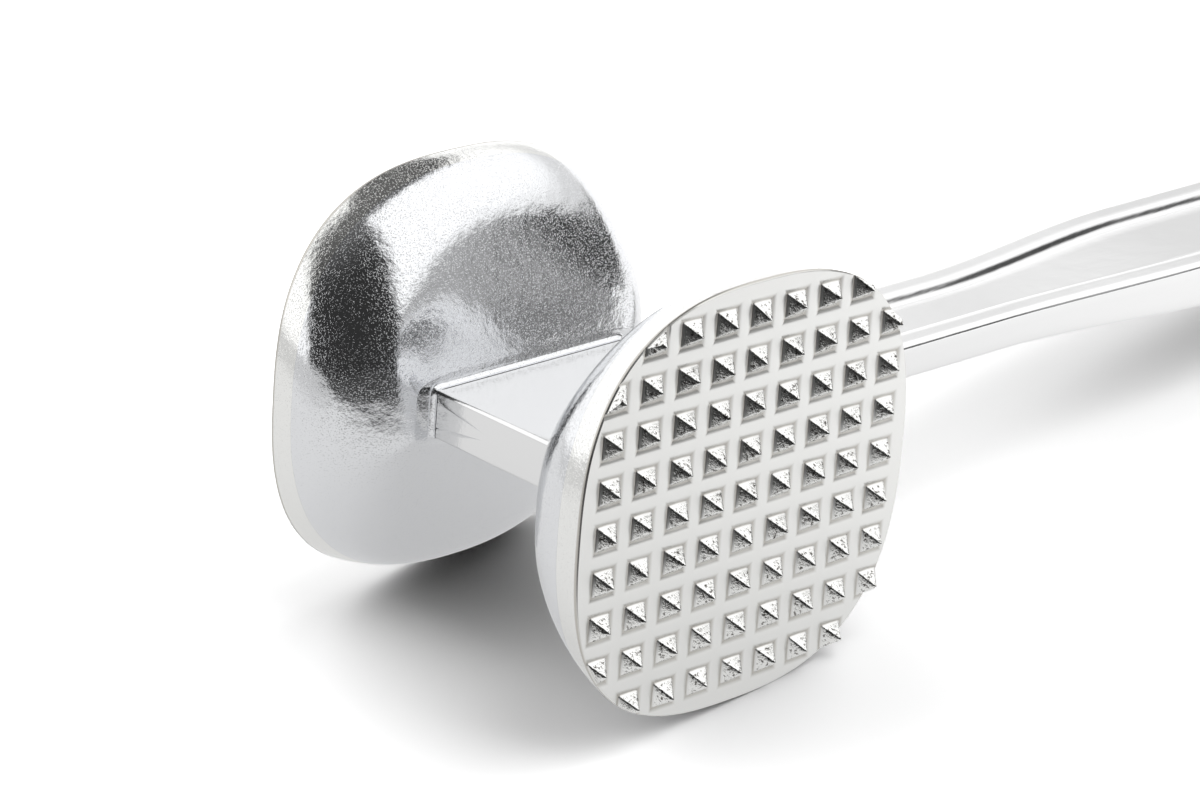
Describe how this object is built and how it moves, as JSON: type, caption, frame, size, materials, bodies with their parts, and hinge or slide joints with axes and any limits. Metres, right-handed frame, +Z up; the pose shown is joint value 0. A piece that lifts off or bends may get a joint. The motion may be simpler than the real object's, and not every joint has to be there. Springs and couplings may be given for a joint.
{
  "type": "meat tenderizer",
  "caption": "Double-faced hand mallet for the kitchen: coarse and fine pyramid-toothed striking faces on flared cups, joined by a flat web that runs on into a recessed bar handle.",
  "frame": {"origin": "middle of the whole mallet's bounding box, at table height, as it lies with the lower edges of both striking faces and the end of the handle on the table", "axes": "+X from the head towards the end of the handle, +Y from the coarse front face to the fine rear face, +Z up"},
  "size_m": [0.2592, 0.0646, 0.0604],
  "materials": {
    "polished_casting": "cast aluminium, ground and polished bright, with faint casting texture left in it",
    "satin_casting": "die-cast aluminium, tumbled to a soft shine, with mottled cast grain",
    "matt_plate": "cast aluminium, matt silvery face with sharp teeth and a brighter rim",
    "screw_steel": "plain stainless steel, turned"
  },
  "bodies": {
    "root": {"handle": "polished_casting", "front_cup": "satin_casting", "rear_cup": "satin_casting", "front_tooth_plate": "matt_plate", "rear_tooth_plate": "matt_plate", "front_cup_screw_handle_side": "screw_steel", "front_cup_screw_tip_side": "screw_steel", "rear_cup_screw_handle_side": "screw_steel", "rear_cup_screw_tip_side": "screw_steel", "front_cup_washer_handle_side": "screw_steel", "front_cup_washer_tip_side": "screw_steel", "rear_cup_washer_handle_side": "screw_steel", "rear_cup_washer_tip_side": "screw_steel"}
  },
  "joints": []
}
